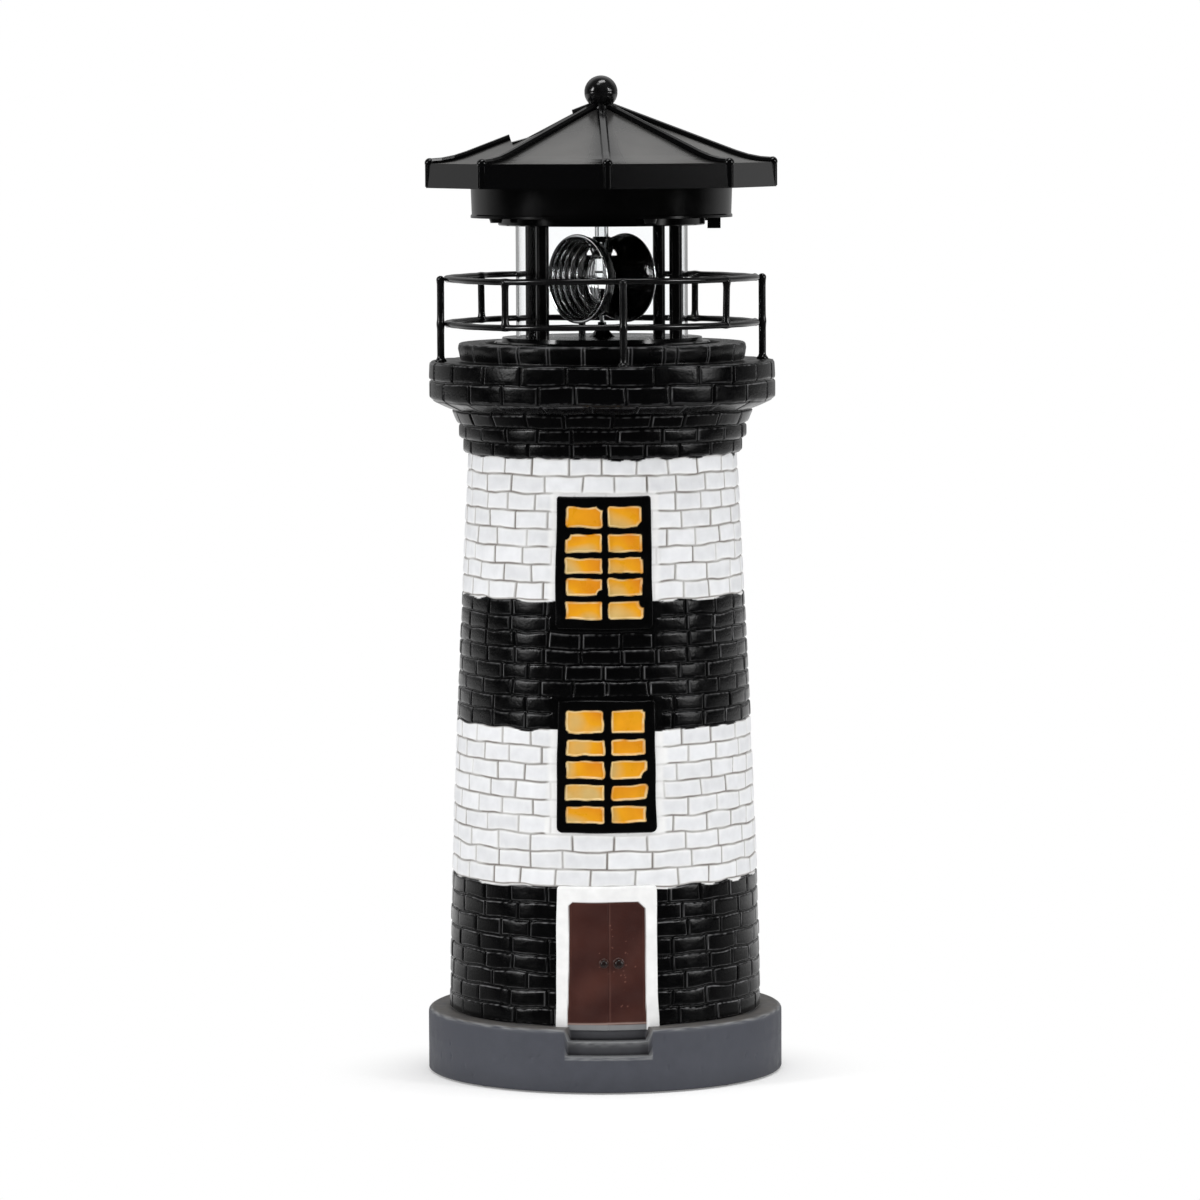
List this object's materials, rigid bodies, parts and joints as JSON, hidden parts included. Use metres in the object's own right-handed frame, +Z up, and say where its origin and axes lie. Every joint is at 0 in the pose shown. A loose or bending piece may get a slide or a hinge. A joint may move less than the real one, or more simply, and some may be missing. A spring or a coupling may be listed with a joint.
{
  "type": "garden lighthouse lamp",
  "caption": "Free-standing lighthouse ornament: a hollow banded tower with windows and door, a railed gallery and a lift-out solar lamp whose reflectors turn.",
  "frame": {"origin": "middle of the base, at the height of the surface that it stands on", "axes": "+Z up along the tower and the beacon's axis, -Y towards the side with the door, +X to the right seen from the front"},
  "size_m": [0.1286, 0.1286, 0.3599],
  "materials": {
    "painted_resin": "hand-painted cast resin, bands of black and off-white bricks, satin to gloss",
    "rail_paint": "black painted wire, glossy",
    "roof_plastic": "glossy black moulded plastic",
    "unit_plastic": "black moulded plastic, slightly satin",
    "clear_plastic": "clear polished acrylic",
    "reflector_plating": "chrome-plated plastic",
    "white_plastic": "white moulded plastic",
    "steel": "plated steel",
    "brass": "machined brass",
    "rubber": "matt black rubber",
    "solar_cells": "dark blue cells on a board",
    "cell_wrap": "plain green shrink sleeve",
    "board": "solder mask",
    "wire": "insulated wire",
    "lamp_body": "diffused white lamp"
  },
  "bodies": {
    "tower": {"tower_casting": "painted_resin", "foot_pads": "rubber", "railing_top_ring": "rail_paint", "railing_lower_ring": "rail_paint", "railing_posts": "rail_paint", "railing_balusters": "rail_paint"},
    "lamp_unit": {"floor_disc": "unit_plastic", "lamp_posts": "unit_plastic", "clear_tube": "clear_plastic", "housing_lip": "roof_plastic", "housing_drum": "roof_plastic", "roof": "roof_plastic", "finial_ball": "roof_plastic", "solar_panel": "solar_cells", "panel_cover": "clear_plastic", "roof_screws": "steel", "lip_screws": "steel", "motor_can": "unit_plastic", "gear_plate": "white_plastic", "plate_screws": "steel", "gear_arbors": "steel", "motor": "steel", "motor_leads": "wire", "battery_cradle": "unit_plastic", "battery_cell": "cell_wrap", "battery_plate": "steel", "battery_spring": "steel", "circuit_board": "board", "board_parts": "unit_plastic", "board_screws": "steel", "panel_leads": "wire", "battery_leads": "wire", "switch_body": "steel", "switch_leads": "wire", "led": "lamp_body", "led_tube": "clear_plastic", "led_leads": "steel"},
    "beacon": {"reflector_front": "reflector_plating", "reflector_rear": "reflector_plating", "reflector_hub": "white_plastic", "output_shaft": "steel", "output_gear": "white_plastic"},
    "upper_gear": {"compound_gear_upper": "white_plastic"},
    "lower_gear": {"compound_gear_lower": "white_plastic"},
    "motor_rotor": {"motor_pinion": "brass"},
    "switch": {"switch_slider": "unit_plastic"}
  },
  "joints": [
    {"name": "lamp_unit_lift", "type": "slide", "parent": "tower", "child": "lamp_unit", "axis": [0, 0, 1], "range_m": [0, 0.045]},
    {"name": "beacon_spin", "type": "hinge", "parent": "lamp_unit", "child": "beacon", "pos_m": [0, 0, 0.287], "axis": [0, 0, 1], "continuous": true},
    {"name": "upper_gear_spin", "type": "hinge", "parent": "lamp_unit", "child": "upper_gear", "pos_m": [0.0105, 0, 0.255], "axis": [0, 0, 1], "continuous": true},
    {"name": "lower_gear_spin", "type": "hinge", "parent": "lamp_unit", "child": "lower_gear", "pos_m": [0.00525, 0.00909, 0.252], "axis": [0, 0, 1], "continuous": true},
    {"name": "motor_spin", "type": "hinge", "parent": "lamp_unit", "child": "motor_rotor", "pos_m": [-0.00525, 0.00909, 0.25], "axis": [0, 0, 1], "continuous": true},
    {"name": "switch_slide", "type": "slide", "parent": "lamp_unit", "child": "switch", "axis": [0, 1, 0], "range_m": [0, 0.0025]}
  ],
  "couplings": [
    {"joint": "upper_gear_spin", "follows": "beacon_spin", "ratio": -4},
    {"joint": "lower_gear_spin", "follows": "beacon_spin", "ratio": 16},
    {"joint": "motor_spin", "follows": "beacon_spin", "ratio": -64}
  ]
}
